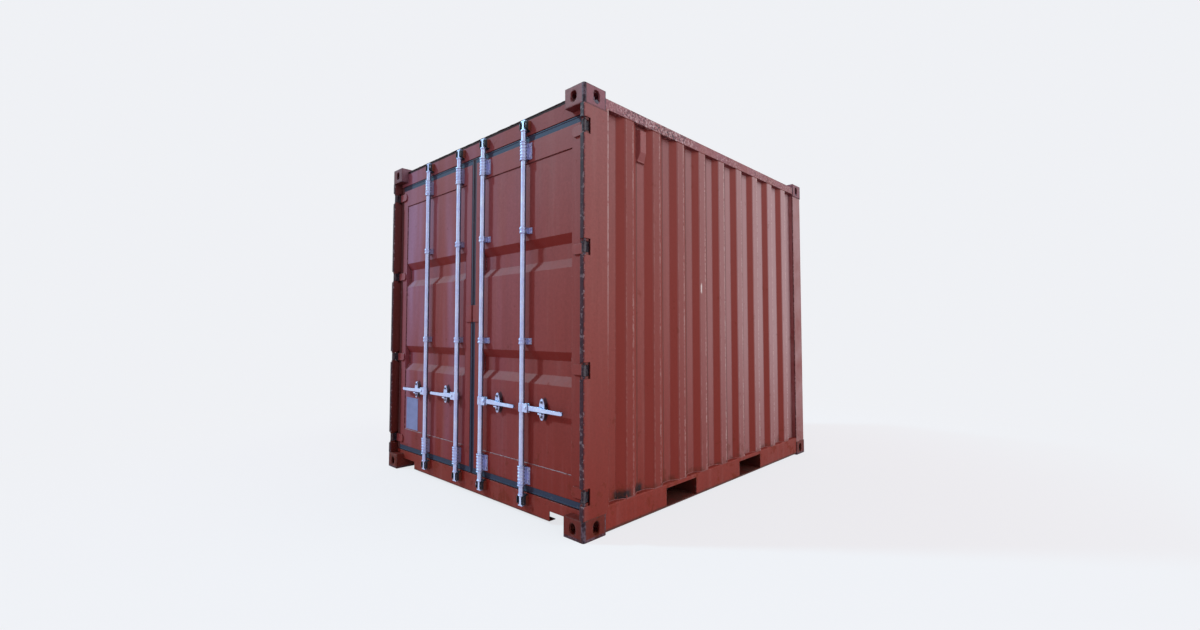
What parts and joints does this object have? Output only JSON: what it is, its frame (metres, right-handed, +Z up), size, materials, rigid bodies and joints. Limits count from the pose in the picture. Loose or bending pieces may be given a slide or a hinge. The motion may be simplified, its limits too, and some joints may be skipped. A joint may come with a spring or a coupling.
{
  "type": "ten-foot shipping container",
  "caption": "Red-brown steel freight container with corrugated walls, hinged double doors, lock rods with lifting handles, fork pockets and hollow corner castings.",
  "frame": {"origin": "bottom centre of the container, on the floor that it stands on", "axes": "+Y from the door end to the blind end, +X to the right when facing the doors, +Z up"},
  "size_m": [2.438, 2.991, 2.591],
  "materials": {
    "red_paint": "worn semi-gloss red-brown paint with rust and dirt",
    "galvanised": "dull galvanised steel",
    "rubber_seal": "matt dark rubber",
    "plywood": "varnished plywood, scuffed"
  },
  "bodies": {
    "container": {"corner_castings_top": "red_paint", "corner_castings_bottom": "red_paint", "roof": "red_paint", "floor": "plywood", "cross_members": "red_paint", "fork_pockets": "red_paint", "door_header": "red_paint", "door_sill": "red_paint", "end_wall": "red_paint", "end_top_rail": "red_paint", "end_bottom_rail": "red_paint", "cam_keepers": "galvanised", "vents": "red_paint", "hinge_pins": "red_paint", "left_door_post": "red_paint", "left_end_post": "red_paint", "left_side_wall": "red_paint", "left_top_side_rail": "red_paint", "left_bottom_side_rail": "red_paint", "right_door_post": "red_paint", "right_end_post": "red_paint", "right_side_wall": "red_paint", "right_top_side_rail": "red_paint", "right_bottom_side_rail": "red_paint"},
    "left_door": {"left_door_frame": "red_paint", "left_door_panel": "red_paint", "left_door_gasket": "rubber_seal", "left_hinge_blades": "red_paint", "left_rod_brackets": "galvanised", "left_handle_catches": "galvanised"},
    "right_door": {"right_door_frame": "red_paint", "right_door_panel": "red_paint", "right_door_gasket": "rubber_seal", "right_hinge_blades": "red_paint", "right_rod_brackets": "galvanised", "right_handle_catches": "galvanised"},
    "left_inner_rod": {"left_inner_lock_rod": "galvanised"},
    "left_inner_lever": {"left_inner_handle": "galvanised"},
    "left_outer_rod": {"left_outer_lock_rod": "galvanised"},
    "left_outer_lever": {"left_outer_handle": "galvanised"},
    "right_inner_rod": {"right_inner_lock_rod": "galvanised"},
    "right_inner_lever": {"right_inner_handle": "galvanised"},
    "right_outer_rod": {"right_outer_lock_rod": "galvanised"},
    "right_outer_lever": {"right_outer_handle": "galvanised"}
  },
  "joints": [
    {"name": "right_door_swing", "type": "hinge", "parent": "container", "child": "right_door", "pos_m": [1.198, -1.4745, 1.2955], "axis": [0, 0, 1], "range_deg": [0, 263]},
    {"name": "left_door_swing", "type": "hinge", "parent": "container", "child": "left_door", "pos_m": [-1.198, -1.4745, 1.2955], "axis": [0, 0, -1], "range_deg": [0, 263]},
    {"name": "right_inner_rod_turn", "type": "hinge", "parent": "right_door", "child": "right_inner_rod", "pos_m": [0.16, -1.4675, 1.2955], "axis": [0, 0, 1], "range_deg": [-100, 0]},
    {"name": "right_inner_handle_lift", "type": "hinge", "parent": "right_inner_rod", "child": "right_inner_lever", "pos_m": [0.208, -1.4675, 0.685], "axis": [0, 1, 0], "range_deg": [-10, 0]},
    {"name": "right_outer_rod_turn", "type": "hinge", "parent": "right_door", "child": "right_outer_rod", "pos_m": [0.628, -1.4675, 1.2955], "axis": [0, 0, 1], "range_deg": [-100, 0]},
    {"name": "right_outer_handle_lift", "type": "hinge", "parent": "right_outer_rod", "child": "right_outer_lever", "pos_m": [0.676, -1.4675, 0.685], "axis": [0, 1, 0], "range_deg": [-10, 0]},
    {"name": "left_inner_rod_turn", "type": "hinge", "parent": "left_door", "child": "left_inner_rod", "pos_m": [-0.16, -1.4675, 1.2955], "axis": [0, 0, -1], "range_deg": [-100, 0]},
    {"name": "left_inner_handle_lift", "type": "hinge", "parent": "left_inner_rod", "child": "left_inner_lever", "pos_m": [-0.208, -1.4675, 0.685], "axis": [0, -1, 0], "range_deg": [-10, 0]},
    {"name": "left_outer_rod_turn", "type": "hinge", "parent": "left_door", "child": "left_outer_rod", "pos_m": [-0.628, -1.4675, 1.2955], "axis": [0, 0, -1], "range_deg": [-100, 0]},
    {"name": "left_outer_handle_lift", "type": "hinge", "parent": "left_outer_rod", "child": "left_outer_lever", "pos_m": [-0.676, -1.4675, 0.685], "axis": [0, -1, 0], "range_deg": [-10, 0]}
  ]
}
